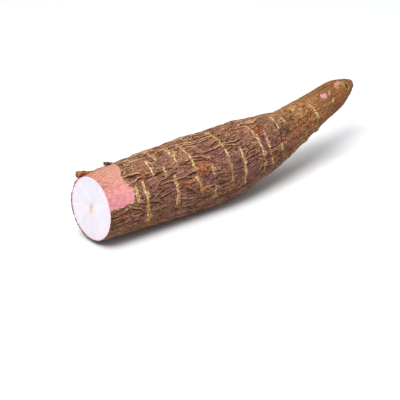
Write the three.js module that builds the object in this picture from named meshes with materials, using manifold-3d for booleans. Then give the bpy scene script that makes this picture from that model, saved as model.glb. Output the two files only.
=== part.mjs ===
// A cassava root, cut straight across at its thick end and lying on its belly.
// The root is one solid: a skin swept round a bent centre line, closed by the flat cut at one end
// and a blunt broken tip at the other, with two torn strips of bark fused on beside the bare patch.
// Units are millimetres. +X runs from the cut to the tip, +Z is up, and -Y is the side with the bare patch.
// A place on the skin is given by its distance along the centre line from the cut, and by its angle
// round the root in degrees: 0 is the top, 90 the -Y side, 180 the underside.
import * as THREE from "three";
import { mergeVertices } from "three/addons/utils/BufferGeometryUtils.js";
import Module from "manifold-3d";

// Centre line from the cut to the tip: x, y, z and the radius there.
const STATIONS = [
  [0, 0, -0.3, 27.2],
  [29, 0, 0.2, 29.2],
  [61, 0, 0, 30.2],
  [94, 0, -0.5, 31.4],
  [131, 0, -0.2, 31.4],
  [166, 0.2, 3.2, 27.7],
  [198, 0.9, 7, 22.6],
  [213, 1.7, 9, 19.3],
  [231, 3.3, 13.1, 17.4],
  [263, 7.3, 19.2, 14.5],
  [288, 11.4, 24.1, 12.9],
  [303, 14.2, 25.8, 8.8],
  [311.5, 16.1, 26.5, 5.7],
  [317, 17.3, 26.5, 3.8],
];
const TIP_ROUNDING = 3;
const TIP_ROW_ANGLES = [30, 55, 75];
// The root isn't round: soft lobes, as shares of its radius, turn slowly along it, by degrees a millimetre.
const LOBES = [
  { count: 2, height: 0.014, start: -92, twist: 0.82 },
  { count: 3, height: 0.01, start: -37, twist: -1.27 },
];
// The flat spot that the belly rests on lies this far below the middle of the cut.
const REST_DEPTH = 31;
// The origin is below the middle of the whole root, this far from the cut.
const CUT_TO_MIDDLE = 158;

// The cut isn't quite square to the root.
const CUT_YAW = -2;
const CUT_PITCH = -3;
const CUT_FADE = 40;
const SKIN_EDGE = 1.1;
const SKIN_PROUD = 0.35;
const FLESH_RINGS = [0.4, 0.72];

// Long cracks run along the bark between its ridges. Each follows one column of the grid for a while,
// and as it fades the crack on the next column opens.
const COLUMNS = 54;
const ROW_STEP = 4.5;
const CRACK_DEPTH = 1;
const CRACK_PERIOD = 66;
const CRACK_SPACING = 3;
const CRACK_JITTER = 0.7;
const CRACK_JITTER_STEP = 1.7;
const MEANDER = 2;
const MEANDER_PERIOD = 80;
// The tail is smoother.
const TAIL_ROUGHNESS = 0.3;
const SMOOTH_TAIL_FROM = 235;
const SMOOTH_TAIL_TO = 285;

// Scar rings: distance from the cut, then the angles where each begins and ends.
const RING_HEIGHT = 0.8;
const RING_HALF_WIDTH = 1.3;
const RING_TAPER = 7;
const LEAST_ROW_STEP = 0.25;
const RINGS = [
  [33.5, 18, 106],
  [47, 13, 48],
  [47, 150, 262],
  [57.5, -12, 54],
  [65.3, 52, 108],
  [73, -4, 40],
  [73, 178, 236],
  [86.8, 2, 93],
  [96, 205, 318],
  [104.8, 56, 114],
  [124.5, -14, 101],
  [124.5, 142, 205],
  [141, 44, 110],
  [141, 224, 300],
  [164.7, 8, 112],
  [174.3, 32, 104],
  [174.3, 188, 252],
  [188.5, 72, 90],
  [196, 2, 46],
  [205.5, 20, 38],
  [205.5, 212, 310],
  [226, 128, 204],
  [244.5, 20, 86],
  [256, 196, 280],
  [272.5, 30, 68],
];

// Places where the bark has come off, down to the rind. The large one is an outline of
// distance and angle, the others are ovals: distance, angle, half length and half width.
const BARE_DEPTH = 1.2;
const BARE_EDGE = 0.9;
const BARE_OUTLINE = [
  [-6, -38],
  [15, -38],
  [17, -29],
  [30, -28],
  [27.5, -2],
  [25, 14],
  [20, 30],
  [21.5, 41],
  [25, 52],
  [25, 64],
  [21, 75],
  [10, 77],
  [-6, 76],
];
const BARE_OVALS = [
  [58, 232, 9, 6],
  [150, 206, 8, 5],
  [222, 258, 6, 4.5],
];

// The small pit beside the tip.
const PIT = { along: 300, angle: 54, radius: 3.2, depth: 1.7 };

// Torn strips of bark: where each leaves the root and where its free end is, its angle,
// its width, its thickness and how far the free end has lifted.
const STRIPS = [
  { from: 21, to: 0.4, angle: -40, width: 12, thick: 5.4, lift: 5.4 },
  { from: 37, to: 25, angle: -29, width: 4, thick: 2.4, lift: 3 },
];
const STRIP_ROWS = 9;
const STRIP_SUNK = 1.4;
const STRIP_CURL = 1.1;
const STRIP_TAPER = 0.15;
const STRIP_WAVE = 0.8;
const STRIP_WAVE_PERIOD = 14;
// Its section, as shares of half its width and of its thickness below its highest line.
const STRIP_SECTION = [
  [-1, 1],
  [-1, 0.3],
  [0, -0.2],
  [1, 0.3],
  [1, 1],
  [0, 0.7],
];

const rad = THREE.MathUtils.degToRad;
const deg = THREE.MathUtils.radToDeg;
const clamp = THREE.MathUtils.clamp;
const smoothstep = THREE.MathUtils.smoothstep;

// Distance along the centre line at each station, by straight chords.
const KNOTS = [0];
for (let i = 1; i < STATIONS.length; i++) {
  const [a, b] = [STATIONS[i - 1], STATIONS[i]];
  KNOTS.push(KNOTS[i - 1] + Math.hypot(b[0] - a[0], b[1] - a[1], b[2] - a[2]));
}
const LENGTH = KNOTS[KNOTS.length - 1];

// Slope of each value at each station, for a smooth curve through all of them.
const SLOPES = STATIONS.map((_, i) => {
  const before = Math.max(i - 1, 0);
  const after = Math.min(i + 1, STATIONS.length - 1);
  const run = KNOTS[after] - KNOTS[before];
  return STATIONS[i].map((_, k) => (STATIONS[after][k] - STATIONS[before][k]) / run);
});

// The centre, the radius and the three directions of the section at a distance along the root.
function sectionAt(along) {
  let i = 0;
  while (i < KNOTS.length - 2 && along > KNOTS[i + 1]) i++;
  const h = KNOTS[i + 1] - KNOTS[i];
  const t = Math.max((along - KNOTS[i]) / h, 0);
  const value = (k) =>
    (2 * t ** 3 - 3 * t ** 2 + 1) * STATIONS[i][k] +
    (t ** 3 - 2 * t ** 2 + t) * h * SLOPES[i][k] +
    (3 * t ** 2 - 2 * t ** 3) * STATIONS[i + 1][k] +
    (t ** 3 - t ** 2) * h * SLOPES[i + 1][k];
  const slope = (k) =>
    ((6 * t ** 2 - 6 * t) * (STATIONS[i][k] - STATIONS[i + 1][k])) / h +
    (3 * t ** 2 - 4 * t + 1) * SLOPES[i][k] +
    (3 * t ** 2 - 2 * t) * SLOPES[i + 1][k];
  const forward = new THREE.Vector3(slope(0), slope(1), slope(2)).normalize();
  const side = new THREE.Vector3().crossVectors(forward, new THREE.Vector3(0, 0, 1)).normalize();
  const up = new THREE.Vector3().crossVectors(side, forward);
  const centre = new THREE.Vector3(value(0), value(1), value(2));
  // Before the cut the centre line runs straight on.
  centre.addScaledVector(forward, Math.min(along, 0));
  const nearTip = clamp((along - (LENGTH - TIP_ROUNDING)) / TIP_ROUNDING, 0, 1);
  return { centre, radius: value(3) * Math.sqrt(1 - nearTip ** 2), forward, side, up };
}

function lobes(along, angle) {
  let swell = 0;
  for (const { count, height, start, twist } of LOBES) {
    swell += height * Math.cos(rad(count * angle + start + twist * along));
  }
  return swell;
}

function roughness(along) {
  return 1 - (1 - TAIL_ROUGHNESS) * smoothstep(along, SMOOTH_TAIL_FROM, SMOOTH_TAIL_TO);
}

// The columns wander a little as they run along the root, neighbours nearly alike.
function columnAngle(along, column) {
  const start = (360 / COLUMNS) * column;
  const turn = (2 * Math.PI * along) / MEANDER_PERIOD + 2 * Math.sin(2 * rad(start));
  return start + MEANDER * Math.sin(turn);
}

function crackDepth(along, column) {
  const even = 2 * Math.PI * (along / CRACK_PERIOD + column / CRACK_SPACING);
  const turn = even + CRACK_JITTER * Math.sin(CRACK_JITTER_STEP * column);
  return CRACK_DEPTH * roughness(along) * Math.sqrt(Math.max(Math.sin(turn), 0));
}

function ringHeight(along, angle) {
  let height = 0;
  for (const [place, from, to] of RINGS) {
    const middle = (from + to) / 2;
    const off = Math.abs(THREE.MathUtils.euclideanModulo(angle - middle + 180, 360) - 180);
    const inArc = 1 - smoothstep(off, (to - from) / 2 - RING_TAPER, (to - from) / 2 + RING_TAPER);
    const near = Math.max(1 - Math.abs(along - place) / RING_HALF_WIDTH, 0);
    height = Math.max(height, RING_HEIGHT * near * inArc);
  }
  return height;
}

// Signed distance in mm from the edge of the large bare place, negative inside it.
function fromBareOutline(along, angle, radius) {
  const mm = rad(1) * radius;
  const wrapped = angle > 180 ? angle - 360 : angle;
  let least = Infinity;
  let inside = false;
  for (let i = 0; i < BARE_OUTLINE.length; i++) {
    const [ax, ay] = BARE_OUTLINE[i];
    const [bx, by] = BARE_OUTLINE[(i + 1) % BARE_OUTLINE.length];
    const [ex, ey] = [bx - ax, (by - ay) * mm];
    const [px, py] = [along - ax, (wrapped - ay) * mm];
    const t = clamp((px * ex + py * ey) / (ex * ex + ey * ey), 0, 1);
    least = Math.min(least, Math.hypot(px - t * ex, py - t * ey));
    const crosses = ay > wrapped !== by > wrapped;
    if (crosses && along < ((bx - ax) * (wrapped - ay)) / (by - ay) + ax) inside = !inside;
  }
  return inside ? -least : least;
}

// 1 where the bark is gone, 0 where it is whole.
function bare(along, angle, radius) {
  let distance = fromBareOutline(along, angle, radius);
  for (const [place, at, halfLength, halfWidth] of BARE_OVALS) {
    const across = rad(THREE.MathUtils.euclideanModulo(angle - at + 180, 360) - 180) * radius;
    const share = Math.hypot((along - place) / halfLength, across / halfWidth);
    distance = Math.min(distance, (share - 1) * Math.min(halfLength, halfWidth));
  }
  return 1 - smoothstep(distance, -BARE_EDGE, BARE_EDGE);
}

function pitDepth(along, angle, radius) {
  const across = rad(angle - PIT.angle) * radius;
  const off = Math.hypot(along - PIT.along, across) / PIT.radius;
  return PIT.depth * Math.max(1 - off ** 2, 0);
}

// How far the skewed cut moves a section that lies near it.
function cutShift(along, angle, radius) {
  const a = rad(angle);
  const skew = radius * (Math.tan(rad(CUT_YAW)) * Math.sin(a) - Math.tan(rad(CUT_PITCH)) * Math.cos(a));
  return skew * clamp(1 - along / CUT_FADE, 0, 1);
}

// A point of the root, raised from its base surface by `raised` mm.
function place(along, angle, raised) {
  const section = sectionAt(along);
  const shifted = sectionAt(along + cutShift(along, angle, section.radius));
  const out = shifted.up
    .clone()
    .multiplyScalar(Math.cos(rad(angle)))
    .addScaledVector(shifted.side, Math.sin(rad(angle)));
  const point = shifted.centre.addScaledVector(out, shifted.radius * (1 + lobes(along, angle)) + raised);
  point.z = Math.max(point.z, -REST_DEPTH);
  return point;
}

function skinPoint(along, column) {
  const angle = columnAngle(along, column);
  const radius = sectionAt(along).radius;
  const gone = bare(along, angle, radius);
  const bark = ringHeight(along, angle) - crackDepth(along, column);
  return place(along, angle, bark * (1 - gone) - BARE_DEPTH * gone - pitDepth(along, angle, radius));
}

// Distances of the grid's rows: one on each ring, one on each side of it, and even steps between.
function rowDistances() {
  const fixed = new Set([0]);
  for (const [ring] of RINGS)
    for (const offset of [-RING_HALF_WIDTH, 0, RING_HALF_WIDTH]) fixed.add(ring + offset);
  fixed.add(LENGTH - TIP_ROUNDING);
  for (const angle of TIP_ROW_ANGLES) fixed.add(LENGTH - TIP_ROUNDING * (1 - Math.sin(rad(angle))));
  const sorted = [...fixed].sort((a, b) => a - b);
  const kept = sorted.filter((d, i) => i === 0 || d - sorted[i - 1] > LEAST_ROW_STEP);
  const rows = [];
  for (let i = 0; i < kept.length - 1; i++) {
    const steps = Math.max(Math.round((kept[i + 1] - kept[i]) / ROW_STEP), 1);
    for (let k = 0; k < steps; k++) rows.push(kept[i] + ((kept[i + 1] - kept[i]) * k) / steps);
  }
  rows.push(kept[kept.length - 1]);
  return rows;
}

// A closed geometry from rings of points, each ring COUNT long, between a first and a last point.
function closedGeometry(first, rings, last) {
  const count = rings[0].length;
  const points = [first, ...rings.flat(), last];
  const lastIndex = points.length - 1;
  const index = [];
  for (let j = 0; j < count; j++) {
    const k = (j + 1) % count;
    index.push(0, 1 + k, 1 + j);
    for (let i = 0; i < rings.length - 1; i++) {
      const [a, b] = [1 + i * count, 1 + (i + 1) * count];
      index.push(a + j, a + k, b + j, a + k, b + k, b + j);
    }
    const end = 1 + (rings.length - 1) * count;
    index.push(end + j, end + k, lastIndex);
  }
  const coordinates = points.flatMap((p) => p.toArray());
  const geometry = new THREE.BufferGeometry();
  geometry.setAttribute("position", new THREE.Float32BufferAttribute(coordinates, 3));
  geometry.setIndex(index);
  return geometry;
}

// The cut: the skin's edge stands a little proud of the flesh, which is flat out to the rind.
function cutRings() {
  const columns = [...Array(COLUMNS).keys()];
  const radius = STATIONS[0][3];
  const edge = columns.map((j) => skinPoint(-SKIN_PROUD, j));
  const onFace = (raised) => columns.map((j) => place(0, columnAngle(0, j), raised));
  const flesh = FLESH_RINGS.map((share) => onFace(-radius * (1 - share)));
  return [...flesh, onFace(-SKIN_EDGE - BARE_DEPTH), edge];
}

function bodyGeometry() {
  const columns = [...Array(COLUMNS).keys()];
  const rows = rowDistances().map((along) => columns.map((j) => skinPoint(along, j)));
  const middleOfCut = sectionAt(0).centre;
  const tip = sectionAt(LENGTH).centre;
  return closedGeometry(middleOfCut, [...cutRings(), ...rows], tip);
}

function middleOf(points) {
  return points.reduce((sum, p) => sum.add(p), new THREE.Vector3()).divideScalar(points.length);
}

// A torn strip: a flat tongue that starts inside the root and lifts towards the cut.
function stripGeometry({ from, to, angle, width, thick, lift }) {
  const rings = [];
  for (let i = 0; i < STRIP_ROWS; i++) {
    const share = i / (STRIP_ROWS - 1);
    const along = to + (from - to) * share;
    const raised = -STRIP_SUNK * share + lift * (1 - share) ** STRIP_CURL;
    const half = deg(width / 2 / sectionAt(along).radius) * (1 - STRIP_TAPER * (1 - share));
    const middle = angle + STRIP_WAVE * Math.sin((2 * Math.PI * along) / STRIP_WAVE_PERIOD);
    rings.push(
      STRIP_SECTION.map(([across, below]) => place(along, middle + half * across, raised - thick * below))
    );
  }
  return closedGeometry(middleOf(rings[0]), rings, middleOf(rings[STRIP_ROWS - 1]));
}

const wasm = await Module();
wasm.setup();

function solidOf(geometry) {
  const merged = mergeVertices(geometry);
  const vertProperties = merged.attributes.position.array;
  const triVerts = new Uint32Array(merged.index.array);
  return new wasm.Manifold(new wasm.Mesh({ numProp: 3, vertProperties, triVerts }));
}

function geometryOf(solid) {
  const mesh = solid.getMesh();
  const geometry = new THREE.BufferGeometry();
  geometry.setAttribute("position", new THREE.Float32BufferAttribute(mesh.vertProperties, 3));
  geometry.setIndex([...mesh.triVerts]);
  geometry.computeVertexNormals();
  return geometry;
}

let root = solidOf(bodyGeometry());
for (const strip of STRIPS) root = root.add(solidOf(stripGeometry(strip)));

const bark = new THREE.MeshStandardMaterial({ color: 0x6b4a3b, roughness: 0.85, metalness: 0 });
const rootMesh = new THREE.Mesh(geometryOf(root), bark);
rootMesh.name = "cassava_root";
rootMesh.position.set(-CUT_TO_MIDDLE, 0, REST_DEPTH);

const part = new THREE.Group();
part.add(rootMesh);
export default part;
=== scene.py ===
import math

import bmesh
import bpy
from mathutils import Matrix, Vector, noise


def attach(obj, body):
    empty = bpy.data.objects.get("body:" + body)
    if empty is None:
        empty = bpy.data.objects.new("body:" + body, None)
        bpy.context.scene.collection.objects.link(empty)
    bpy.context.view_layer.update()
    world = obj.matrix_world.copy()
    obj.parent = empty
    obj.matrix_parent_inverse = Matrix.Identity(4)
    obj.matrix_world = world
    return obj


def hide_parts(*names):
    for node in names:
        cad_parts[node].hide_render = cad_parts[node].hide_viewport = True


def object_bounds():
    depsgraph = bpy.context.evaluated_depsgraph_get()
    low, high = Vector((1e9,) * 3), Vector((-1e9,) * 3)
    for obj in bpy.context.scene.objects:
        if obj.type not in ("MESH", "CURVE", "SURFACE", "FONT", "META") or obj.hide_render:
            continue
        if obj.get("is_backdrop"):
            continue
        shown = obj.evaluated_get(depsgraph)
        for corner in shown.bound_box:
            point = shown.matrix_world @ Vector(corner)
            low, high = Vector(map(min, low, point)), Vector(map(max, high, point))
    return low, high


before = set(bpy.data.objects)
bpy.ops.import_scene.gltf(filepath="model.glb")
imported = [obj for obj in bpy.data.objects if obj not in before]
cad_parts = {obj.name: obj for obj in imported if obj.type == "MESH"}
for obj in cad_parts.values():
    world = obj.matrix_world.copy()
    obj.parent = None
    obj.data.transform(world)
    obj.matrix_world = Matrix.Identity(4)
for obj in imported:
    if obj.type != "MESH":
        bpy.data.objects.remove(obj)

CAD_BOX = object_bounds()
MM = 0.001

# Centre line from the cut to the tip: x, y, z and the radius there, as in the solid.
STATIONS = [
    (0, 0, -0.3, 27.2),
    (29, 0, 0.2, 29.2),
    (61, 0, 0, 30.2),
    (94, 0, -0.5, 31.4),
    (131, 0, -0.2, 31.4),
    (166, 0.2, 3.2, 27.7),
    (198, 0.9, 7, 22.6),
    (213, 1.7, 9, 19.3),
    (231, 3.3, 13.1, 17.4),
    (263, 7.3, 19.2, 14.5),
    (288, 11.4, 24.1, 12.9),
    (303, 14.2, 25.8, 8.8),
    (311.5, 16.1, 26.5, 5.7),
    (317, 17.3, 26.5, 3.8),
]
# The rounding of the tip, how deep the table lies below the middle of the cut, and how far along the
# root the origin is from the cut.
TIP_ROUNDING = 3
REST_DEPTH = 31
CUT_TO_MIDDLE = 158
# Lobes round the section: how many, their height as a share of the radius, and in degrees their phase
# at the cut and how it changes per mm.
LOBES = [(2, 0.014, -92, 0.82), (3, 0.01, -37, -1.27)]
# The cut is a little skewed, in degrees, and the skew fades away along the root.
CUT_YAW = -2
CUT_PITCH = -3
CUT_FADE = 40

# The fine grid of the skin. The relief fades where the root is thinner than the calm radius.
ROWS = 332
COLUMNS = 296
TIP_STEPS = 8
TIP_CALM_RADIUS = 5

# Fissures run along the bark in long wavy lines: the length and width of their pattern, how deep
# they are, half the width of each, and how high the lip beside it stands. How far the lip lies from
# the line and its own half width are counted in half widths of the line.
MAJOR = {"length": 28, "width": 4.6, "seed": 0.0, "depth": 1.05, "half": 0.76, "lip": 0.5}
MINOR = {"length": 16, "width": 2.6, "seed": 17.3, "depth": 0.36, "half": 0.42, "lip": 0.2}
LIP_AT = 2
LIP_HALF_WIDTH = 1.4
FISSURE_REACH = 3
# The slope of the pattern round the root is taken over this many mm to each side.
SLOPE_PROBE = 0.4
LEAST_SLOPE = 0.06
SIDE_SHARPNESS = 12
# Where a line turns across the root it fades out, by how steep its pattern is round the root.
CURL_FADE = (0.2, 0.6)
# The lines wander round the root, in degrees, and shift along it, in mm: heights and sizes of noises.
WANDER = [(7, 19), (2.4, 6)]
SHIFT = [(3, 8)]
# Both kinds come and go in clouds: the clouds' length and width, the range of the noise over which
# the lines grow, and how strong they are at least.
MAJOR_CLOUDS = (34, 11, (-0.35, 0.05), 0.2)
MINOR_CLOUDS = (10, 10, (-0.15, 0.3), 0.05)
# The major ones are also weaker low down on the side with the bare patch, between these angles.
CALM = 0.35
CALM_FROM = (60, 95)
CALM_TO = (150, 180)

# The rest of the relief: broad lumps, knobs, flakes and long fibres.
LUMP_SIZE = 24
LUMP_HEIGHT = 0.7
KNOB_SIZE = 6
KNOB_HEIGHT = 0.5
FLAKE_SIZE = 2.6
FLAKE_HEIGHT = 0.24
FIBRE_LENGTH = 12
FIBRE_WIDTH = 1.3
FIBRE_HEIGHT = 0.25
# Fissures, knobs and flakes weaken to this share along the thin end.
TAIL_ROUGHNESS = 0.4
SMOOTH_TAIL_FROM = 210
SMOOTH_TAIL_TO = 265

# Scar rings stand up over the bark, wander a little, and smooth the bark that they cross.
RING_HEIGHT = 0.65
RING_HALF_WIDTH = 1.0
RING_TAPER = 4
RING_WANDER = [(0.9, 6), (0.25, 1.9)]
RING_SMOOTHS = 0.7
# A ring is looked for this far from its arc, and its distance is counted up to the reach.
RING_LOOK = 5
RING_REACH = 3
# Each one: distance from the cut at the start and at the end of the arc, the angles of its two
# ends, and how bright it is.
RINGS = [
    (32.7, 32.7, 18, 30, 0.7),
    (27.5, 25, 52, 82, 0.8),
    (33.5, 36, 46, 120, 1),
    (36.8, 38.2, 103, 122, 0.9),
    (47, 47, 15, 46, 0.9),
    (47, 49, 150, 262, 0.8),
    (57, 57, -10, 24, 0.8),
    (58.7, 58.7, 35, 53, 0.9),
    (65.3, 65.3, 53, 106, 0.9),
    (73, 73, 0, 39, 1),
    (75.5, 75.5, 0, 30, 0.7),
    (73, 75, 178, 236, 0.8),
    (87, 87, 3, 56, 1),
    (85, 91.5, 65, 92, 0.9),
    (96, 95, 205, 318, 0.9),
    (104.5, 104.5, 56, 75, 0.7),
    (105.5, 105.5, 87, 113, 0.7),
    (125, 125, -12, 54, 1),
    (124, 124, 57, 100, 0.6),
    (124.5, 126, 142, 205, 0.8),
    (142, 138, 45, 109, 1),
    (141, 143, 224, 300, 0.9),
    (165, 165, 11, 80, 1),
    (164, 164, 85, 111, 0.7),
    (176.5, 172.5, 33, 84, 0.9),
    (174, 174, 84, 104, 0.7),
    (174.3, 176, 188, 252, 0.9),
    (188.5, 188.5, 74, 88, 1),
    (195.5, 195.5, 4, 45, 0.9),
    (205.5, 205.5, 14, 37, 0.9),
    (205.5, 207, 212, 310, 0.8),
    (226, 227, 128, 204, 0.7),
    (244.5, 244.5, 21, 85, 1),
    (256, 257, 196, 280, 0.7),
    (274.5, 273.5, 26, 40, 1),
    (272.5, 271, 57, 72, 1),
]

# An oval on the skin is looked at within so many half lengths. The share is 0 in its middle and 1 on
# its edge, and is counted no further than its reach.
OVAL_SPAN = 3
SHARE_REACH = 2

# Lumps: distance, angle, half length, half width and height.
BUMPS = [
    (189, 150, 11, 9, 1.6),
    (208, 144, 3.5, 4, 0.9),
    (216, 142, 3, 4, 0.7),
    (229, 141, 3.2, 4, 1.1),
    (247, 139, 3, 4, 1.4),
    (261, 145, 3, 4, 0.6),
    (166, 330, 7, 5, 0.7),
    (108, 329, 8, 5, 0.6),
    (60, 331, 7, 5, 0.6),
]

# Where the bark has come off, down to the pink rind.
BARE_DEPTH = 1
BARE_EDGE = 0.5
BARE_RAGGED = 1.7
BARE_RAGS = [(1, 3.3), (0.6, 1.3)]
BARE_REACH = 6
BARE_OUTLINE = [
    (-6, -38),
    (15, -38),
    (17, -29),
    (30, -28),
    (27.5, -2),
    (25, 14),
    (20, 30),
    (21.5, 41),
    (25, 52),
    (25, 64),
    (21, 75),
    (10, 77),
    (-6, 76),
]
BARE_OUTLINE_ENDS = max(along for along, _ in BARE_OUTLINE) + 2 * BARE_REACH
# Smaller ones: distance, angle, half length and half width.
BARE_OVALS = [
    (58, 232, 9, 4.5),
    (66, 239, 6, 3.5),
    (51, 227, 5, 3),
    (150, 206, 8, 4),
    (157, 212, 4, 3.5),
    (222, 258, 6, 3.2),
    (227, 249, 3.5, 2.6),
    (266.5, 30, 4.6, 3.4),
]
# Patches where the bark is worn or thick: distance, angle, half length, half width, tone, which
# is 1 for pale, 0.5 for salmon, 0 for orange, -0.5 for purple and -1 for dark, and strength.
PATCHES = [
    (94.5, 57, 8, 7, 0, 0.85),
    (99, 64, 3, 2, 0.1, 1),
    (85, 70, 3.4, 2.6, 0.3, 1),
    (76, 72, 8, 5, -0.1, 0.7),
    (90, 89, 4, 2, 0.5, 1),
    (97, 87, 7, 1, 0.9, 1),
    (38, 37, 4, 3, 0, 0.8),
    (86, 28, 6, 2, -0.1, 0.6),
    (13, 93, 8, 1.6, 0.15, 0.9),
    (36, 98, 4, 1.6, 0.1, 0.8),
    (36, 112, 5, 4, 0.1, 0.7),
    (171, 33, 7.5, 7, 0, 1),
    (170, 47, 5, 4, -0.5, 0.9),
    (169, 70, 6, 7, -0.5, 0.8),
    (181, 62, 5, 4, -0.5, 0.6),
    (99, 77, 6, 5, -0.5, 0.7),
    (113, 45, 7, 4, -0.5, 0.8),
    (134, 72, 7, 8, -0.5, 0.5),
    (60, 80, 7, 6, -0.5, 0.5),
    (150, 95, 9, 7, -0.5, 0.6),
    (175, 92, 6, 6, 0, 0.7),
    (196, 77, 4, 3, 0.1, 0.9),
    (174, 1, 8, 2.6, 1, 1),
    (199, 50, 10, 6.5, -0.8, 0.85),
    (211, 68, 8, 4, 0.1, 0.7),
    (206, 88, 7, 4, 0, 0.6),
    (223, 66, 6, 4, 0, 0.8),
    (233, 24, 3, 1.6, 1, 1),
    (240, 12, 3, 1.6, 0.5, 0.8),
    (227, 12, 2.4, 1.4, 1, 1),
    (259, 27, 5, 3, 0.1, 0.7),
    (237, 72, 8, 5, 0, 0.65),
    (292, 25, 9, 4, 1, 0.9),
    (28, 5, 4, 3.5, -0.9, 1),
    (66, 240, 4, 3, 0, 0.9),
    (110, 250, 10, 5, 0.6, 0.8),
    (140, 160, 7, 4, 0, 0.7),
    (190, 150, 9, 4, 0, 0.8),
    (205, 240, 10, 5, -0.8, 0.9),
    (244, 318, 8, 4, 0.1, 0.6),
]
# From orange to pale they are worn: they are sunk, and smooth the bark up to their edge. The edges of
# all are ragged, the less so the narrower they are.
PATCH_DEPTH = 0.25
PATCH_EDGE = (0.8, 1.15)
PATCH_SMOOTHS = 0.6
WORN_TONES = (-0.5, 0)
PATCH_RAGGED = 1.1
PATCH_RAGGED_BY_WIDTH = 0.3
PATCH_RAG_SIZE = 3

# The small pit beside the tip, with a rim round it: how high, at what share and how wide.
PIT = (300, 54, 3.2, 3.2)
PIT_DEPTH = 1.7
PIT_RAGS = [(0.4, 2)]
RIM_HEIGHT = 0.5
RIM_AT = 1.15
RIM_HALF_WIDTH = 0.3

# Layers at the cut, from the outside in.
BARK_THICKNESS = 0.9
PEEL_THICKNESS = 2.6
SKIN_PROUD = 0.35
# The cut's rings of points crowd towards its edge, and its knife marks fade there.
CUT_RINGS = 44
CUT_CROWDING = 1.6
LEAST_SHARE = 0.01
KNIFE_WAVES = [(0.12, 9)]
KNIFE_LINE_HEIGHT = 0.05
KNIFE_LINE_WIDTH = 1.5
KNIFE_LINE_LENGTH = 12
KNIFE_FADE = 2
# Behind the cut, out of sight, the skin and the cut are each closed: how far along the root and
# how far below the surface the edge of the closing disc lies.
SKIN_BACK = (2, 1.5)
CUT_BACK = (1.5, 2.5)

# Torn strips of bark: where each leaves the root, its free end, its angle, width, thickness and lift.
STRIPS = [
    ("bark_flap", 21, 0.4, -40, 12, 5.4, 5.4),
    ("bark_flake", 37, 25, -29, 4, 2.8, 3.2),
]
STRIP_SUNK = 1.4
STRIP_CURL = 1.1
STRIP_TAPER = 0.15
STRIP_ROWS = 40
STRIP_SIDES = 28
STRIP_ROUGH = [(0.3, 1.3), (0.2, 0.6)]
STRIP_FLATNESS = 0.2
# The free end is torn into teeth: their length, and how often they change across and over the strip.
TEETH_LENGTH = 1.6
TEETH_ACROSS = 1.7
TEETH_OVER = 0.8
EDGE_RAGGED = 0.25
EDGE_RAG_LENGTH = 3

# The camera sees the root as the photograph does.
CAMERA_AZIMUTH = -41.5
CAMERA_ELEVATION = 24
CAMERA_DISTANCE = 1110
CAMERA_LENS = 126.2
LOOK_AT = (-91.8, -55.1, 36.8)

# The stage. A light has a name, the direction it comes from, its distance and size in metres, and
# its power in watts.
FLOOR_SIZE = 8
FLOOR_COLOR = (0.9, 0.905, 0.92, 1)
FLOOR_ROUGHNESS = 0.9
FLOOR_SPECULAR = 0.1
SKY_COLOR = (0.96, 0.98, 1, 1)
SKY_STRENGTH = 0.42
LIGHTS = [
    ("key", (-0.62, -0.3, 0.8), 1.8, 0.8, 27),
    ("top", (0.1, 0.0, 1), 1.9, 1.6, 18),
]


def clamp(value, low, high):
    return min(max(value, low), high)


def smooth(value, low, high):
    """0 below low, 1 above high, and a smooth step between them."""
    t = clamp((value - low) / (high - low), 0.0, 1.0)
    return t * t * (3 - 2 * t)


def waves(point, sizes):
    """A sum of smooth noises, each given by its height and size."""
    return sum(height * noise.noise(point / size) for height, size in sizes)


def turn_between(angle, other):
    """The turn from one angle to another, in degrees, from -180 to 180."""
    return (angle - other + 180) % 360 - 180


# The form of the root

KNOTS = [0.0]
for before, after in zip(STATIONS, STATIONS[1:]):
    KNOTS.append(KNOTS[-1] + math.dist(before[:3], after[:3]))
LENGTH = KNOTS[-1]
SLOPES = []
for i in range(len(STATIONS)):
    low, high = max(i - 1, 0), min(i + 1, len(STATIONS) - 1)
    run = KNOTS[high] - KNOTS[low]
    SLOPES.append([(b - a) / run for a, b in zip(STATIONS[low], STATIONS[high])])


class Section:
    """The centre, the radius and the directions of the root's section at a distance from the cut."""

    def __init__(self, along):
        i = 0
        while i < len(KNOTS) - 2 and along > KNOTS[i + 1]:
            i += 1
        h = KNOTS[i + 1] - KNOTS[i]
        t = max((along - KNOTS[i]) / h, 0.0)
        ends = list(zip(STATIONS[i], SLOPES[i], STATIONS[i + 1], SLOPES[i + 1]))
        weights = (
            2 * t**3 - 3 * t**2 + 1,
            (t**3 - 2 * t**2 + t) * h,
            3 * t**2 - 2 * t**3,
            (t**3 - t**2) * h,
        )
        steeps = (
            (6 * t**2 - 6 * t) / h,
            3 * t**2 - 4 * t + 1,
            (6 * t - 6 * t**2) / h,
            3 * t**2 - 2 * t,
        )
        value = [sum(w * v for w, v in zip(weights, e)) for e in ends]
        slope = [sum(w * v for w, v in zip(steeps, e)) for e in ends[:3]]
        self.forward = Vector(slope).normalized()
        self.side = self.forward.cross(Vector((0, 0, 1))).normalized()
        self.up = self.side.cross(self.forward)
        self.centre = Vector(value[:3]) + self.forward * min(along, 0)
        near_tip = clamp((along - (LENGTH - TIP_ROUNDING)) / TIP_ROUNDING, 0.0, 1.0)
        self.radius = value[3] * math.sqrt(1 - near_tip**2)


def lobes(along, angle):
    """How far the lobes swell the section, as a share of its radius."""
    swell = 0
    for count, height, start, twist in LOBES:
        swell += height * math.cos(math.radians(count * angle + start + twist * along))
    return swell


def cut_shift(along, angle, radius):
    """How far the skewed cut moves a section that lies near it."""
    a = math.radians(angle)
    yaw, pitch = math.tan(math.radians(CUT_YAW)), math.tan(math.radians(CUT_PITCH))
    return radius * (yaw * math.sin(a) - pitch * math.cos(a)) * clamp(1 - along / CUT_FADE, 0.0, 1.0)


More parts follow.
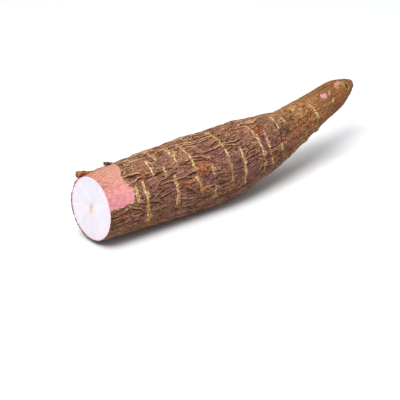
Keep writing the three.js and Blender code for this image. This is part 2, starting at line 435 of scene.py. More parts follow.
def place(along, angle, raised, section=None):
    """A point raised from the root's base surface, in mm from the middle of the cut."""
    section = section or Section(along)
    if along < CUT_FADE:
        section = Section(along + cut_shift(along, angle, section.radius))
    a = math.radians(angle)
    out = section.up * math.cos(a) + section.side * math.sin(a)
    point = section.centre + out * (section.radius * (1 + lobes(along, angle)) + raised)
    point.z = max(point.z, -REST_DEPTH)
    return point


def straightened(along, angle, radius):
    """Where that place would be if the root were straight: patterns are drawn in this space."""
    a = math.radians(angle)
    return Vector((along, radius * math.cos(a), radius * math.sin(a)))


# The relief and the marks of the bark

class Marks:
    """What the bark's material needs to know at a point. Each fissure is the distance from it in mm,
    the side that its lip is on and its strength. A ring is the distance from it and its brightness. The
    bare mark is the distance to the edge of a bare place, negative inside it. A patch is 1 on its
    edge and less inside, with its tone and strength. The pit is 1 on its rim and less inside."""

    def __init__(self):
        self.major = self.minor = Vector((FISSURE_REACH, 0, 0))
        self.ring = Vector((RING_REACH, 0, 0))
        self.bare = BARE_REACH
        self.patch = Vector((SHARE_REACH, 0, 0))
        self.pit = float(SHARE_REACH)


def fissure(along, angle, radius, strength, length, width, seed, **_):
    """A mark for the nearest of a set of long wavy lines, where a stretched noise passes through 0."""
    step = math.degrees(SLOPE_PROBE / max(radius, 1))

    def field(turn):
        p = straightened(along, angle + turn, radius)
        return noise.noise((p.x / length + seed, p.y / width, p.z / width))

    slope = (field(step) - field(-step)) / (2 * SLOPE_PROBE)
    distance = field(0) / max(abs(slope), LEAST_SLOPE)
    strength *= smooth(abs(slope) * width, *CURL_FADE)
    distance = clamp(distance, -FISSURE_REACH, FISSURE_REACH)
    return Vector((distance, math.tanh(SIDE_SHARPNESS * slope), strength))


def fissure_height(mark, depth, half, lip, **_):
    """How high the bark stands in a fissure, or on the lip beside it."""
    distance, side, strength = mark
    trough = depth * math.exp(-((distance / half) ** 2))
    from_crest = distance * side + LIP_AT * half
    crest = lip * math.exp(-((from_crest / (LIP_HALF_WIDTH * half)) ** 2))
    return strength * (crest - trough)


def cloudy(point, clouds):
    """How strong a kind of fissure is at a point, from its least up to 1."""
    length, width, grow, least = clouds
    cloud = noise.noise((point.x / length, point.y / width, point.z / width))
    return least + (1 - least) * smooth(cloud, *grow)


def calmed(angle):
    """How much of the major fissures is left at an angle."""
    turn = turn_between(angle, 0)
    return 1 - CALM * smooth(turn, *CALM_FROM) * (1 - smooth(turn, *CALM_TO))


def ring_mark(along, angle, point, rings):
    """The nearest ring's mark, as a distance along the root and a brightness."""
    mark = Vector((RING_REACH, 0, 0))
    for first, last, start, end, bright in rings:
        off = turn_between(angle, (start + end) / 2)
        half = (end - start) / 2
        inside = 1 - smooth(abs(off), half - RING_TAPER, half + RING_TAPER)
        if inside == 0:
            continue
        middle = first + (last - first) * (clamp(off / half, -1, 1) + 1) / 2
        middle += waves(point, RING_WANDER)
        distance = clamp(along - middle, -RING_REACH, RING_REACH)
        if abs(distance) < abs(mark.x):
            mark = Vector((distance, bright * inside, 0))
    return mark


def from_bare_outline(along, angle, radius):
    """Signed distance in mm from the edge of the large bare place, negative inside it."""
    mm = math.radians(1) * radius
    wrapped = turn_between(angle, 0)
    least, inside = math.inf, False
    for (ax, ay), (bx, by) in zip(BARE_OUTLINE, BARE_OUTLINE[1:] + BARE_OUTLINE[:1]):
        ex, ey = bx - ax, (by - ay) * mm
        px, py = along - ax, (wrapped - ay) * mm
        t = clamp((px * ex + py * ey) / (ex * ex + ey * ey), 0.0, 1.0)
        least = min(least, math.hypot(px - t * ex, py - t * ey))
        if (ay > wrapped) != (by > wrapped) and along < (bx - ax) * (wrapped - ay) / (by - ay) + ax:
            inside = not inside
    return -least if inside else least


def oval_share(along, angle, radius, oval):
    """0 at the middle of an oval on the skin, 1 on its edge."""
    at, middle, half_length, half_width = oval
    across = math.radians(turn_between(angle, middle)) * radius
    return math.hypot((along - at) / half_length, across / half_width)


def bare_mark(along, angle, radius, point):
    """Signed distance in mm from the ragged edge of the nearest bare place, negative inside it."""
    edge = BARE_REACH
    if along < BARE_OUTLINE_ENDS:
        edge = from_bare_outline(along, angle, radius)
    for oval in BARE_OVALS:
        if abs(along - oval[0]) < OVAL_SPAN * oval[2]:
            edge = min(edge, (oval_share(along, angle, radius, oval) - 1) * oval[3])
    edge += BARE_RAGGED * waves(point, BARE_RAGS)
    return clamp(edge, -BARE_REACH, BARE_REACH)


def patch_mark(along, angle, radius, point):
    """The nearest patch's mark: 1 on its edge and less inside, its tone and its strength."""
    near = [
        (oval_share(along, angle, radius, patch[:4]), *patch[3:])
        for patch in PATCHES
        if abs(along - patch[0]) < OVAL_SPAN * patch[2]
    ]
    share, width, tone, strength = min(near, default=(SHARE_REACH, 0, 0, 0))
    ragged = min(PATCH_RAGGED, PATCH_RAGGED_BY_WIDTH * width)
    share += ragged * noise.noise(point / PATCH_RAG_SIZE)
    return Vector((clamp(share, 0, SHARE_REACH), tone, strength))


def relief(along, angle, radius, rings):
    """The bark's height over the base surface in mm, and its marks."""
    marks = Marks()
    point = straightened(along, angle, radius)
    moved, turned = along + waves(point, SHIFT), angle + waves(point, WANDER)
    flow = straightened(moved, turned, radius)
    rough = 1 - (1 - TAIL_ROUGHNESS) * smooth(along, SMOOTH_TAIL_FROM, SMOOTH_TAIL_TO)

    strength = cloudy(point, MAJOR_CLOUDS) * calmed(angle) * rough
    marks.major = fissure(moved, turned, radius, strength, **MAJOR)
    marks.minor = fissure(moved, turned, radius, cloudy(point, MINOR_CLOUDS) * rough, **MINOR)
    marks.ring = ring_mark(along, angle, point, rings)
    marks.patch = patch_mark(along, angle, radius, point)
    marks.bare = bare_mark(along, angle, radius, point)

    whole = smooth(marks.bare, -BARE_EDGE, BARE_EDGE)
    ring = marks.ring.y * math.exp(-((marks.ring.x / RING_HALF_WIDTH) ** 2))
    share, tone, strength = marks.patch
    worn = (1 - smooth(share, *PATCH_EDGE)) * smooth(tone, *WORN_TONES) * strength
    bark = fissure_height(marks.major, **MAJOR) + fissure_height(marks.minor, **MINOR)
    fibres = (flow.x / FIBRE_LENGTH, flow.y / FIBRE_WIDTH, flow.z / FIBRE_WIDTH)
    bark += FIBRE_HEIGHT * noise.noise(fibres)
    knobs = KNOB_HEIGHT * noise.noise(point / KNOB_SIZE)
    bark += rough * (knobs + FLAKE_HEIGHT * noise.noise(flow / FLAKE_SIZE))
    bark *= (1 - RING_SMOOTHS * ring) * (1 - PATCH_SMOOTHS * worn)
    height = LUMP_HEIGHT * noise.noise(point / LUMP_SIZE)
    for bump in BUMPS:
        if abs(along - bump[0]) < OVAL_SPAN * bump[2]:
            height += bump[4] * math.exp(-oval_share(along, angle, radius, bump[:4]) ** 2)
    height += (bark + RING_HEIGHT * ring - PATCH_DEPTH * worn) * whole - BARE_DEPTH * (1 - whole)

    marks.pit = clamp(oval_share(along, angle, radius, PIT) + waves(point, PIT_RAGS), 0, SHARE_REACH)
    rim = RIM_HEIGHT * math.exp(-(((marks.pit - RIM_AT) / RIM_HALF_WIDTH) ** 2))
    return height + rim - PIT_DEPTH * max(1 - marks.pit**2, 0.0), marks


# Meshes

def mesh_object(name, points, faces, attributes):
    """A smooth mesh in metres in the row's frame, from points in mm from the middle of the cut."""
    to_frame = Vector((-CUT_TO_MIDDLE, 0, REST_DEPTH))
    mesh = bpy.data.meshes.new(name)
    mesh.from_pydata([(p + to_frame) * MM for p in points], [], faces)
    mesh.shade_smooth()
    for key, values in attributes.items():
        if isinstance(values[0], Vector):
            flat = [c for v in values for c in v]
            mesh.attributes.new(key, "FLOAT_VECTOR", "POINT").data.foreach_set("vector", flat)
        else:
            mesh.attributes.new(key, "FLOAT", "POINT").data.foreach_set("value", values)
    piece = bpy.data.objects.new(name, mesh)
    bpy.context.scene.collection.objects.link(piece)
    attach(piece, "root")
    return piece


def grid_faces(rows, columns):
    """Quads between rings of points, which close on themselves."""
    faces = []
    for i in range(rows - 1):
        for j in range(columns):
            k = (j + 1) % columns
            faces.append((i * columns + j, i * columns + k, (i + 1) * columns + k, (i + 1) * columns + j))
    return faces


def row_distances():
    """Even steps along the root, and finer ones round the tip."""
    even = ROWS - TIP_STEPS
    body = [(LENGTH - TIP_ROUNDING) * i / (even - 1) for i in range(even)]
    turns = [math.pi / 2 * k / TIP_STEPS for k in range(1, TIP_STEPS)]
    return [-SKIN_PROUD] + body + [LENGTH - TIP_ROUNDING * (1 - math.sin(turn)) for turn in turns]


def build_skin():
    """The bark, closed at the tip and, out of sight, behind the cut."""
    points, marks_of, straight = [], [], []
    behind, below = SKIN_BACK
    rows = [(behind, -SKIN_PROUD, below)] + [(along, along, 0) for along in row_distances()]
    for along, pattern, sunk in rows:
        section = Section(along)
        calm = min(1, section.radius / TIP_CALM_RADIUS)
        rings = [r for r in RINGS if min(r[:2]) - RING_LOOK < along < max(r[:2]) + RING_LOOK]
        for j in range(COLUMNS):
            angle = 360 * j / COLUMNS
            height, marks = relief(pattern, angle, section.radius, rings)
            points.append(place(along, angle, height * calm - sunk, section))
            straight.append(straightened(pattern, angle, section.radius))
            marks_of.append(marks)
    faces = grid_faces(len(rows), COLUMNS)
    last = (len(rows) - 1) * COLUMNS
    for along in (LENGTH, behind):
        points.append(Section(along).centre)
        straight.append(Vector((along, 0, 0)))
        marks_of.append(Marks())
    faces += [(last + j, last + (j + 1) % COLUMNS, len(points) - 2) for j in range(COLUMNS)]
    faces += [((j + 1) % COLUMNS, j, len(points) - 1) for j in range(COLUMNS)]
    attributes = {name: [getattr(m, name) for m in marks_of] for name in vars(marks_of[0])}
    attributes["straight"] = straight
    return mesh_object("bark_skin", points, faces, attributes)


def build_cut():
    """The cut: flesh, peel and the edge of the bark, flat but for the marks of the knife."""
    section = Section(0)
    depths, straight, points = [], [], []
    rim = [relief(-SKIN_PROUD, 360 * j / COLUMNS, section.radius, []) for j in range(COLUMNS)]
    for i in range(CUT_RINGS):
        share = 1 - (1 - i / (CUT_RINGS - 1)) ** CUT_CROWDING
        for j, (height, marks) in enumerate(rim):
            angle = 360 * j / COLUMNS
            whole = smooth(marks.bare, -BARE_EDGE, BARE_EDGE)
            radius = section.radius * (1 + lobes(0, angle)) + height
            reach = max(share, LEAST_SHARE) * radius
            depth = radius - reach
            proud = SKIN_PROUD * (1 - smooth(depth, 0, BARK_THICKNESS)) * whole
            if i == CUT_RINGS - 1:
                proud = SKIN_PROUD
            spot = straightened(0, angle, reach)
            depths.append(radius - height - reach)
            line = noise.noise((0, spot.y / KNIFE_LINE_WIDTH, spot.z / KNIFE_LINE_LENGTH))
            knife = waves(spot, KNIFE_WAVES) + KNIFE_LINE_HEIGHT * line
            point = place(-proud, angle, height - depth, section)
            points.append(point + Vector((knife * min(1, depth / KNIFE_FADE), 0, 0)))
            straight.append(spot)
    behind, below = CUT_BACK
    for j, (height, _) in enumerate(rim):
        angle = 360 * j / COLUMNS
        points.append(place(behind, angle, height - below))
        depths.append(0.0)
        straight.append(straightened(0, angle, section.radius))
    faces = grid_faces(CUT_RINGS + 1, COLUMNS)
    last = CUT_RINGS * COLUMNS
    for along in (0, behind):
        points.append(Section(along).centre)
        depths.append(STATIONS[0][3])
        straight.append(Vector((0, 0, 0)))
    faces += [((j + 1) % COLUMNS, j, len(points) - 2) for j in range(COLUMNS)]
    faces += [(last + j, last + (j + 1) % COLUMNS, len(points) - 1) for j in range(COLUMNS)]
    return mesh_object("cut_face", points, faces, {"depth": depths, "straight": straight})


def build_strip(name, start, end, angle, width, thick, lift):
    """A torn strip of bark that lifts from the root towards the cut, with a ragged free end."""
    points, edge, straight = [], [], []
    for i in range(STRIP_ROWS):
        share = i / (STRIP_ROWS - 1)
        along = end + (start - end) * share
        section = Section(along)
        raised = lift * (1 - share) ** STRIP_CURL - STRIP_SUNK * share
        half = math.degrees(width / 2 / section.radius) * (1 - STRIP_TAPER * (1 - share))
        for j in range(STRIP_SIDES):
            a = 2 * math.pi * j / STRIP_SIDES
            across, over = math.cos(a), math.sin(a)
            spot = straightened(along, angle + half * across, section.radius + over)
            teeth = noise.noise((across * TEETH_ACROSS, over * TEETH_OVER, end))
            torn = TEETH_LENGTH * teeth * (1 - share) ** 3
            ragged = 1 + EDGE_RAGGED * noise.noise((along / EDGE_RAG_LENGTH, across, end))
            flattened = over * abs(over) ** STRIP_FLATNESS
            up = raised - thick * (1 - flattened) / 2 + waves(spot, STRIP_ROUGH)
            points.append(place(along + torn, angle + half * across * ragged, up))
            edge.append((1 - share) ** 2)
            straight.append(spot)
    faces = grid_faces(STRIP_ROWS, STRIP_SIDES)
    for row, order in ((0, -1), (STRIP_ROWS - 1, 1)):
        ring = list(range(row * STRIP_SIDES, (row + 1) * STRIP_SIDES))
        points.append(sum((points[k] for k in ring), Vector()) / STRIP_SIDES)
        edge.append(1.0 - row / (STRIP_ROWS - 1))
        straight.append(straight[ring[0]])
        tip = len(points) - 1
        for k in range(STRIP_SIDES):
            a, b = ring[k], ring[(k + 1) % STRIP_SIDES]
            faces.append((a, b, tip)[::order])
    return mesh_object(name, points, faces, {"edge": edge, "straight": straight})


def face_outwards(piece):
    """Turn the faces of a closed piece outwards."""
    work = bmesh.new()
    work.from_mesh(piece.data)
    bmesh.ops.recalc_face_normals(work, faces=work.faces)
    work.to_mesh(piece.data)
    work.free()


# Materials

def srgb(red, green, blue):
    """A colour as it looks on a screen, from 0 to 255, for a shader."""
    shares = [c / 255 for c in (red, green, blue)]
    linear = [c / 12.92 if c < 0.0404 else ((c + 0.055) / 1.055) ** 2.4 for c in shares]
    return (*linear, 1.0)


class Shader:
    """A material's node tree, built up by short calls that each return an output socket."""

    def __init__(self, name):
        self.material = bpy.data.materials.new(name)
        self.material.use_nodes = True
        self.tree = self.material.node_tree
        self.surface = self.tree.nodes["Principled BSDF"]
        self.space = self.attribute("straight", "Vector")

    def node(self, kind, inputs, **settings):
        """A new node. Its inputs are given by name or number, as values or as other nodes' outputs."""
        made = self.tree.nodes.new(kind)
        for key, value in settings.items():
            setattr(made, key, value)
        for key, value in inputs.items():
            if isinstance(value, bpy.types.NodeSocket):
                self.tree.links.new(value, made.inputs[key])
            else:
                made.inputs[key].default_value = value
        return made

    def attribute(self, name, output="Fac"):
        return self.node("ShaderNodeAttribute", {}, attribute_name=name).outputs[output]

    def parts(self, vector):
        return self.node("ShaderNodeSeparateXYZ", {"Vector": vector}).outputs

    def stretched(self, along, across, offset=0.0):
        """The straightened root's space, in units of so many mm along and across it."""
        scale = (1 / along, 1 / across, 1 / across)
        inputs = {"Vector": self.space, "Scale": scale, "Location": (offset, offset, offset)}
        return self.node("ShaderNodeMapping", inputs).outputs["Vector"]

    def noise(self, along, across, detail=4.0, rough=0.55, offset=0.0, distortion=0.0):
        inputs = {
            "Vector": self.stretched(along, across, offset),
            "Scale": 1.0,
            "Detail": detail,
            "Roughness": rough,
            "Distortion": distortion,
        }
        return self.node("ShaderNodeTexNoise", inputs).outputs["Fac"]

    def rays(self, count, detail=3.0):
        """Streaks that run out from the centre line, the finer the higher the count."""
        unit = self.node("ShaderNodeVectorMath", {0: self.space}, operation="NORMALIZE").outputs[0]
        inputs = {"Vector": unit, "Scale": count, "Detail": detail}
        return self.node("ShaderNodeTexNoise", inputs).outputs["Fac"]

    def borders(self, along, across, offset=0.0):
        """0 on the borders of long cells, rising into them."""
        inputs = {"Vector": self.stretched(along, across, offset), "Scale": 1.0}
        kind = "ShaderNodeTexVoronoi"
        return self.node(kind, inputs, feature="DISTANCE_TO_EDGE").outputs["Distance"]

    def step(self, value, low, high, start=0.0, end=1.0):
        """The start value below low, the end value above high, and a smooth step between them."""
        inputs = {"Value": value, "From Min": low, "From Max": high, "To Min": start, "To Max": end}
        kind = "ShaderNodeMapRange"
        return self.node(kind, inputs, interpolation_type="SMOOTHSTEP").outputs["Result"]

    def fall(self, value, low, high, start=1.0):
        """The start value below low, falling to 0 above high."""
        return self.step(value, low, high, start, 0.0)

    def math(self, operation, a, b=0.0):
        return self.node("ShaderNodeMath", {0: a, 1: b}, operation=operation).outputs[0]

    def times(self, a, b):
        return self.math("MULTIPLY", a, b)

    def plus(self, a, b):
        return self.math("ADD", a, b)

    def minus(self, a, b):
        return self.math("SUBTRACT", a, b)

    def mix(self, factor, a, b, blend="MIX"):
        inputs = {0: factor, 6: a, 7: b}
        return self.node("ShaderNodeMix", inputs, data_type="RGBA", blend_type=blend).outputs[2]

    def bump(self, height, distance, strength=1.0, below=None):
        inputs = {"Height": height, "Distance": distance, "Strength": strength}
        if below is not None:
            inputs["Normal"] = below
        return self.node("ShaderNodeBump", inputs).outputs["Normal"]

    def finish(self, color, roughness, normal, **fixed):
        self.tree.links.new(color, self.surface.inputs["Base Color"])
        self.tree.links.new(roughness, self.surface.inputs["Roughness"])
        self.tree.links.new(normal, self.surface.inputs["Normal"])
        for key, value in fixed.items():
            self.surface.inputs[key.replace("_", " ")].default_value = value
        return self.material


def lines(s, name, half, low, offset):
    """The dark line of a fissure, partly its own colour and partly painted shade, and the pale lip beside
    it, partly wear and partly a painted highlight, each from 0 to 1.
    """
    distance, side, strength = s.parts(s.attribute(name, "Vector"))
    # How strong the lip is, as wear and as painted highlight.
    wear_and_highlight = s.step(s.noise(4, 1.4, detail=4, offset=offset), 0.3, 0.6)
    wobble = s.minus(s.noise(1.6, 0.8, detail=3, offset=offset), 0.5)
    moved = s.plus(distance, s.times(wobble, 0.8))
    seen = s.step(strength, low, low + 0.35)
    dark = s.times(s.fall(s.math("ABSOLUTE", moved), 0.4 * half, 1.1 * half), seen)
    beside = s.times(moved, side)
    lip = s.step(beside, -2.8 * half, -1.4 * half)
    lip = s.times(lip, s.fall(beside, -1.4 * half, -0.6 * half))
    lip = s.times(lip, s.math("ABSOLUTE", side))
    return dark, s.times(lip, s.times(wear_and_highlight, seen))


def crackle(s):
    """The finest grain of the bark, a little longer round the root than along it."""
    return s.noise(1.0, 1.7, detail=2, rough=0.6, offset=77)


def bark_color(s, around, major, minor):
    """Brown bark: clouds, ochre streaks, grain, strands, fissures and lips, with painted light on top and
    painted shade below.
    """
    color = s.mix(s.step(s.noise(22, 9), 0.4, 0.58), srgb(112, 70, 64), srgb(147, 97, 83))
    color = s.mix(s.step(s.noise(13, 6, detail=3, offset=5), 0.47, 0.58, end=0.9), color, srgb(108, 63, 74))
    color = s.mix(s.step(s.noise(12, 5, detail=3, offset=9), 0.5, 0.62, end=0.8), color, srgb(150, 84, 56))
    # Under rises towards the bottom of the root: it strengthens the ochre streaks there, and it paints
    # shade below through the dark clouds and the last mix.
    under = s.step(around, 0.55, -0.1)
    streak = s.step(s.noise(18, 1.7, detail=6, offset=3.7), 0.5, 0.6, end=0.42)
    streak = s.times(streak, s.plus(1.0, under))
    color = s.mix(streak, color, srgb(174, 120, 58))
    # Dark clouds, strengthened on the underside as painted shade.
    dark = s.step(s.noise(10, 1.8, detail=5, offset=8.1), 0.5, 0.6, end=0.5)
    color = s.mix(s.times(dark, s.plus(0.6, under)), color, srgb(66, 34, 20))
    grain = s.noise(1.9, 1.2, detail=3, rough=0.7, offset=50)
    color = s.mix(s.step(grain, 0.55, 0.62, end=0.5), color, srgb(210, 162, 136))
    color = s.mix(s.fall(grain, 0.38, 0.45, 0.45), color, srgb(58, 30, 22))
    finest = crackle(s)
    color = s.mix(s.step(finest, 0.55, 0.62, end=0.5), color, srgb(206, 156, 124))
    color = s.mix(s.fall(finest, 0.38, 0.45, 0.55), color, srgb(58, 28, 18))
    strand = s.noise(6.5, 1.4, detail=5, rough=0.7, offset=1.3, distortion=1.0)
    color = s.mix(s.step(strand, 0.53, 0.6, end=0.55), color, srgb(200, 150, 122))
    color = s.mix(s.fall(strand, 0.39, 0.46, 0.8), color, srgb(62, 28, 14))
    # Fissures: the dark lines are partly the cracks' own colour and partly painted shade, and the pale lips
    # are partly wear and partly painted highlight.
    color = s.mix(s.times(minor[1], 0.75), color, srgb(202, 152, 114))
    color = s.mix(s.times(minor[0], 0.9), color, srgb(64, 28, 12))
    color = s.mix(s.times(major[1], 0.9), color, srgb(228, 182, 138))
    color = s.mix(s.times(major[0], 0.97), color, srgb(70, 27, 6))
    # Painted light: the top of the root is lightened.
    color = s.mix(s.step(around, 0.5, 0.9), color, (0.14, 0.18, 0.12, 1), blend="DODGE")
    # Painted shade: the underside is darkened.
    return s.mix(s.times(under, 0.2), color, srgb(48, 26, 8))


def bare_color(s, along, around):
    """Pink rind, orange and speckled towards the top, with crumbs of the inner bark left on it."""
    cloud = s.step(s.noise(5, 4, detail=6, rough=0.7, offset=9), 0.4, 0.6)
    pink = s.mix(cloud, srgb(213, 148, 144), srgb(201, 122, 132))
    upper = s.plus(around, s.times(s.noise(8, 3, detail=6, rough=0.7, offset=12), 0.9))
    upper = s.times(s.step(upper, 1.0, 1.5, end=0.75), s.step(along, 44, 36))
    mottle = s.step(s.noise(3, 1.6, detail=5, rough=0.7, offset=71), 0.4, 0.58)
    orange = s.mix(mottle, srgb(168, 118, 92), srgb(198, 146, 116))
    color = s.mix(upper, pink, orange)
    speck = s.noise(1.5, 1.5, detail=5, rough=0.75, offset=31)
    color = s.mix(s.step(speck, 0.55, 0.66, end=0.45), color, srgb(240, 192, 180))
    sparser = s.times(s.math("ABSOLUTE", s.minus(around, 0.85)), 0.22)
    sparser = s.plus(sparser, s.times(along, 0.005))
    crumbs = s.minus(s.noise(2.8, 1.1, detail=5, rough=0.75, offset=2), sparser)
    return s.mix(s.step(crumbs, 0.45, 0.54, end=0.8), color, srgb(146, 84, 54))


def ring_parts(s, lower):
    """The broken pale line of a ring, from 0 to 1, wider lower down, and pieces of a second one."""
    offset, bright, _ = s.parts(s.attribute("ring", "Vector"))
    wobble = s.minus(s.noise(0.9, 0.9, detail=3, rough=0.7, offset=11), 0.5)
    offset = s.plus(offset, s.times(wobble, 1.5))
    distance = s.minus(s.math("ABSOLUTE", offset), s.times(lower, 0.4))
    line = s.fall(distance, 0.5 * RING_HALF_WIDTH, 1.3 * RING_HALF_WIDTH)
    second = s.math("ABSOLUTE", s.minus(offset, 2.2))
    second = s.fall(second, 0.3 * RING_HALF_WIDTH, RING_HALF_WIDTH)
    second = s.times(second, s.step(s.noise(9, 7, detail=3, offset=33), 0.5, 0.56))
    broken = s.noise(1.0, 1.4, detail=3, rough=0.6, offset=14)
    broken = s.step(s.plus(broken, s.times(bright, 0.14)), 0.53, 0.6)
    both = s.math("MAXIMUM", line, second)
    return s.times(both, s.times(broken, s.step(bright, 0.2, 0.9)))


def tail_color(s, along, around):
    """The thin end: smoother and more orange, with painted shade in purple-brown on its lower side, and
    pale speckles in clusters.
    """
    cloud = s.step(s.noise(14, 4, detail=6, offset=6), 0.4, 0.6)
    color = s.mix(cloud, srgb(134, 82, 42), srgb(162, 108, 58))
    # Painted shade: the lower side of the thin end turns purple-brown.
    lower = s.plus(around, s.times(s.noise(10, 4, detail=4, offset=27), 1.2))
    color = s.mix(s.step(lower, 1.0, 0.5, end=0.6), color, srgb(108, 60, 42))
    color = s.mix(s.step(s.noise(7, 4, detail=5, offset=16), 0.54, 0.62, end=0.8), color, srgb(178, 94, 38))
    fade = s.step(along, 285, 225, start=0.3, end=1.0)
    grain = s.noise(1.8, 1.0, detail=3, rough=0.7, offset=53)
    low = s.times(s.fall(grain, 0.39, 0.46, 0.7), fade)
    color = s.mix(low, color, srgb(78, 40, 22))
    high = s.times(s.step(grain, 0.55, 0.62, end=0.6), fade)
    color = s.mix(high, color, srgb(214, 160, 100))
    dark = s.step(s.noise(7, 1.7, detail=6, rough=0.7, offset=18), 0.52, 0.6, end=0.85)
    color = s.mix(s.times(dark, fade), color, srgb(74, 38, 18))
    cluster = s.times(s.noise(12, 7, detail=2, offset=29), 0.25)
    pale = s.plus(s.noise(2, 1.5, detail=4, rough=0.75, offset=24), cluster)
    pale = s.step(pale, 0.66, 0.72, end=0.9)
    return s.mix(s.times(pale, fade), color, srgb(226, 180, 122))


def neck_wrinkles(s, along, around):
    """A net of fine pale lines on the top of the neck, from 0 to 1."""
    net = s.fall(s.borders(4.6, 2.4, offset=40), 0.03, 0.1, 0.9)
    net = s.times(net, s.step(s.noise(5, 4, detail=3, offset=36), 0.44, 0.58))
    net = s.times(net, s.step(around, 0.55, 0.85))
    return s.times(net, s.times(s.step(along, 180, 205), s.step(along, 262, 240)))


def patched(s, color):
    """Worn patches, from orange at a tone of 0 through salmon to pale at 1, and purple and dark ones."""
    share, tone, strength = s.parts(s.attribute("patch", "Vector"))
    mottle = s.noise(2.4, 1.7, detail=5, rough=0.75, offset=20)
    orange = s.mix(s.step(mottle, 0.4, 0.52), srgb(108, 54, 38), srgb(164, 94, 64))
    orange = s.mix(s.step(mottle, 0.53, 0.6), orange, srgb(236, 164, 84))
    salmon = s.mix(s.step(mottle, 0.42, 0.56), srgb(190, 92, 70), srgb(224, 134, 108))
    tan = s.mix(s.step(mottle, 0.42, 0.56), srgb(190, 130, 98), srgb(232, 186, 150))
    dark = s.mix(s.step(mottle, 0.42, 0.6), srgb(54, 34, 26), srgb(126, 90, 64))
    purple = s.mix(s.step(mottle, 0.4, 0.6), srgb(90, 50, 54), srgb(138, 90, 92))
    patch = s.mix(s.step(tone, 0.2, 0.5), orange, salmon)
    patch = s.mix(s.step(tone, 0.5, 0.9), patch, tan)
    patch = s.mix(s.step(tone, -0.1, -0.5), patch, purple)
    patch = s.mix(s.step(tone, -0.5, -0.8), patch, dark)
    cover = s.fall(s.plus(share, s.times(mottle, 1.6)), 1.2, 2.0)
    return s.mix(s.times(cover, strength), color, patch)


def bark_material():
    """The bark, its tail, patches, pit and rings, and the rind where it is bare. Around is 1 on top of
    the root, 0 at its sides and -1 below."""
    s = Shader("rough_bark")
    along, up, side = s.parts(s.space)
    radial = s.math("SQRT", s.plus(s.math("POWER", up, 2.0), s.math("POWER", side, 2.0)))
    around = s.math("DIVIDE", up, s.math("MAXIMUM", radial, 0.5))
    major = lines(s, "major", MAJOR["half"], 0.15, 4)
    minor = lines(s, "minor", MINOR["half"], 0.25, 6)
    color = bark_color(s, around, major, minor)

    tail = s.plus(along, s.times(s.noise(16, 7, offset=2), 60))
    color = s.mix(s.step(tail, 208, 264, end=0.85), color, tail_color(s, along, around))
    color = s.mix(neck_wrinkles(s, along, around), color, srgb(224, 174, 116))
    color = patched(s, color)

    fine = s.noise(1.3, 0.9, detail=5, rough=0.7, offset=20)
    bare_edge = s.plus(s.attribute("bare"), s.times(s.minus(fine, 0.5), 2.6))
    fringe = s.fall(bare_edge, 1.0, 5.8)
    fringe = s.times(fringe, s.step(s.noise(2.4, 1.8, detail=4, offset=22), 0.34, 0.5))
    fringe = s.times(fringe, s.step(around, 0.15, 0.4, start=0.35))
    fringe = s.times(fringe, s.step(along, 60, 44, start=0.35))
    shadow = s.times(s.fall(bare_edge, 0.5, 2.2, 0.9), s.step(around, 0.45, 0.3))
    color = s.mix(shadow, color, srgb(58, 30, 16))
    flakes = s.mix(s.step(fine, 0.42, 0.54), srgb(78, 52, 28), srgb(156, 120, 60))
    light = s.step(s.noise(1.6, 1.6, detail=4, rough=0.7, offset=44), 0.54, 0.6)
    flakes = s.mix(light, flakes, srgb(232, 204, 156))
    color = s.mix(fringe, color, flakes)

    pit = s.attribute("pit")
    color = s.mix(s.fall(pit, 1.1, 1.6, 0.8), color, srgb(176, 140, 84))
    color = s.mix(s.fall(pit, 0.6, 1.0, 0.9), color, srgb(60, 44, 20))
    ring = ring_parts(s, s.step(around, 0.85, 0.5))
    golden = s.step(around, 0.5, 0.0, end=0.06)
    crumbs = s.minus(s.noise(1.7, 2.0, detail=4, rough=0.7, offset=61), golden)
    cork = s.mix(s.step(crumbs, 0.43, 0.55), srgb(188, 132, 66), srgb(255, 222, 170))
    color = s.mix(ring, color, cork)
    bare = s.fall(bare_edge, -0.15, 0.35)
    color = s.mix(bare, color, bare_color(s, along, around))

    roughness = s.step(s.noise(4, 1, detail=4, offset=2), 0.2, 0.8, start=0.62, end=0.9)
    height = s.times(s.noise(8, 1.2, detail=7, rough=0.7, offset=4), 1.5)
    strands = s.noise(3.2, 1.0, detail=5, rough=0.8, offset=1.3)
    height = s.plus(height, s.times(strands, 0.9))
    height = s.plus(height, s.times(crackle(s), 0.5))
    height = s.minus(height, s.times(s.plus(major[0], minor[0]), 0.25))
    height = s.times(height, s.step(bare, 0.0, 1.0, start=1.0, end=0.15))
    height = s.plus(height, s.times(ring, 0.2))
    return s.finish(color, roughness, s.bump(height, 1.3 * MM), Specular_IOR_Level=0.15)


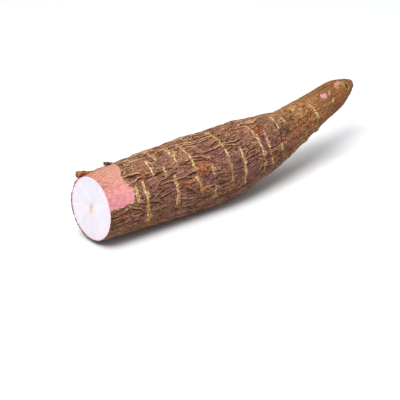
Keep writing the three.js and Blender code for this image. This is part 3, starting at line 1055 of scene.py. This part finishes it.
def cut_material():
    """White flesh with faint rays and a woody core, the pinkish peel and the edge of the bark."""
    s = Shader("cut_flesh")
    depth = s.attribute("depth")
    _, up, side = s.parts(s.space)
    up = s.plus(up, s.times(side, 0.35))
    side = s.times(side, 0.42)
    radial = s.math("SQRT", s.plus(s.math("POWER", up, 2.0), s.math("POWER", side, 2.0)))
    outer = s.step(radial, 3, 10)
    cloud = s.noise(6, 6, detail=5)
    color = s.mix(s.step(cloud, 0.35, 0.65), srgb(219, 212, 219), srgb(211, 206, 215))
    light = s.step(s.rays(9), 0.5, 0.62, end=0.6)
    color = s.mix(s.times(light, outer), color, srgb(224, 219, 224))
    dark = s.fall(s.rays(12), 0.36, 0.46, 0.5)
    color = s.mix(s.times(dark, outer), color, srgb(205, 199, 207))
    core = s.plus(radial, s.times(s.noise(1.6, 1.6, detail=3, offset=3), 0.5))
    color = s.mix(s.fall(core, 1.6, 5.4, 0.9), color, srgb(216, 201, 197))
    color = s.mix(s.fall(core, 1.0, 2.3, 0.9), color, srgb(190, 170, 160))
    wavy = s.plus(depth, s.times(s.noise(3, 3, offset=7), 0.8))
    inside = BARK_THICKNESS + PEEL_THICKNESS
    peel = s.fall(wavy, inside, inside + 0.7)
    color = s.mix(peel, color, s.mix(s.noise(2, 2, offset=1), srgb(224, 208, 219), srgb(219, 195, 208)))
    rim = s.fall(wavy, BARK_THICKNESS + 0.4, BARK_THICKNESS + 1.0, 0.75)
    color = s.mix(rim, color, srgb(214, 150, 160))
    bark = s.fall(depth, 0.75 * BARK_THICKNESS, 0.95 * BARK_THICKNESS)
    color = s.mix(bark, color, srgb(70, 46, 36))
    roughness = s.step(cloud, 0.3, 0.7, start=0.45, end=0.6)
    normal = s.bump(s.noise(1.1, 1.1, detail=6, rough=0.7), 0.25 * MM)
    return s.finish(color, roughness, normal, Specular_IOR_Level=0.35)


def strip_material(name, deep, light, joined):
    """A torn strip: fibrous, spotted, and with another colour where it joins the bark."""
    s = Shader(name)
    fibre = s.noise(6, 1.1, detail=6, rough=0.7)
    color = s.mix(s.step(fibre, 0.4, 0.6), srgb(*deep), srgb(*light))
    root = s.fall(s.attribute("edge"), 0.02, 0.3, 0.8)
    color = s.mix(root, color, srgb(*joined))
    spots = s.step(s.noise(2.5, 1.6, detail=4, offset=3), 0.52, 0.62, end=0.85)
    color = s.mix(spots, color, srgb(66, 38, 22))
    roughness = s.step(fibre, 0.3, 0.7, start=0.7, end=0.9)
    return s.finish(color, roughness, s.bump(fibre, 0.5 * MM), Specular_IOR_Level=0.25)


# The stage

def white_floor():
    paint = bpy.data.materials.new("white_table")
    paint.use_nodes = True
    surface = paint.node_tree.nodes["Principled BSDF"]
    surface.inputs["Base Color"].default_value = FLOOR_COLOR
    surface.inputs["Roughness"].default_value = FLOOR_ROUGHNESS
    surface.inputs["Specular IOR Level"].default_value = FLOOR_SPECULAR
    bpy.ops.mesh.primitive_plane_add(size=FLOOR_SIZE, location=(0, 0, 0))
    floor = bpy.context.object
    floor.name = "table"
    floor.data.materials.append(paint)
    floor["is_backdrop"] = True


def soft_light(name, direction, distance, size, power):
    """A square softbox that faces the middle of the root."""
    data = bpy.data.lights.new(name, "AREA")
    data.size = size
    data.energy = power
    lamp = bpy.data.objects.new(name, data)
    towards = Vector(direction).normalized()
    lamp.location = towards * distance
    lamp.rotation_euler = towards.to_track_quat("Z", "Y").to_euler()
    bpy.context.scene.collection.objects.link(lamp)


def light_studio():
    world = bpy.data.worlds.new("studio")
    world.use_nodes = True
    background = world.node_tree.nodes["Background"]
    background.inputs["Color"].default_value = SKY_COLOR
    background.inputs["Strength"].default_value = SKY_STRENGTH
    bpy.context.scene.world = world
    for light in LIGHTS:
        soft_light(*light)
    bpy.context.scene.view_settings.view_transform = "Standard"


def add_camera():
    azimuth, elevation = math.radians(CAMERA_AZIMUTH), math.radians(CAMERA_ELEVATION)
    level = Vector((math.sin(azimuth), -math.cos(azimuth), 0))
    back = level * math.cos(elevation) + Vector((0, 0, math.sin(elevation)))
    right = Vector((math.cos(azimuth), math.sin(azimuth), 0))
    turn = Matrix((right, back.cross(right), back)).transposed().to_4x4()
    data = bpy.data.cameras.new("camera")
    data.lens = CAMERA_LENS
    camera = bpy.data.objects.new("camera", data)
    camera.matrix_world = Matrix.Translation((Vector(LOOK_AT) + back * CAMERA_DISTANCE) * MM) @ turn
    bpy.context.scene.collection.objects.link(camera)
    bpy.context.scene.camera = camera


skin = build_skin()
skin.data.materials.append(bark_material())
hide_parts("cassava_root")
cut = build_cut()
cut.data.materials.append(cut_material())
torn = {
    "bark_flap": strip_material("torn_bark", (112, 66, 30), (178, 118, 60), (96, 62, 44)),
    "bark_flake": strip_material("curled_bark", (62, 46, 38), (128, 106, 88), (70, 50, 40)),
}
for strip in STRIPS:
    piece = build_strip(*strip)
    face_outwards(piece)
    piece.data.materials.append(torn[strip[0]])

white_floor()
light_studio()
add_camera()

sizes = {"cad": CAD_BOX, "visual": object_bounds()}
sizes = {name: [list(corner) for corner in box] for name, box in sizes.items()}
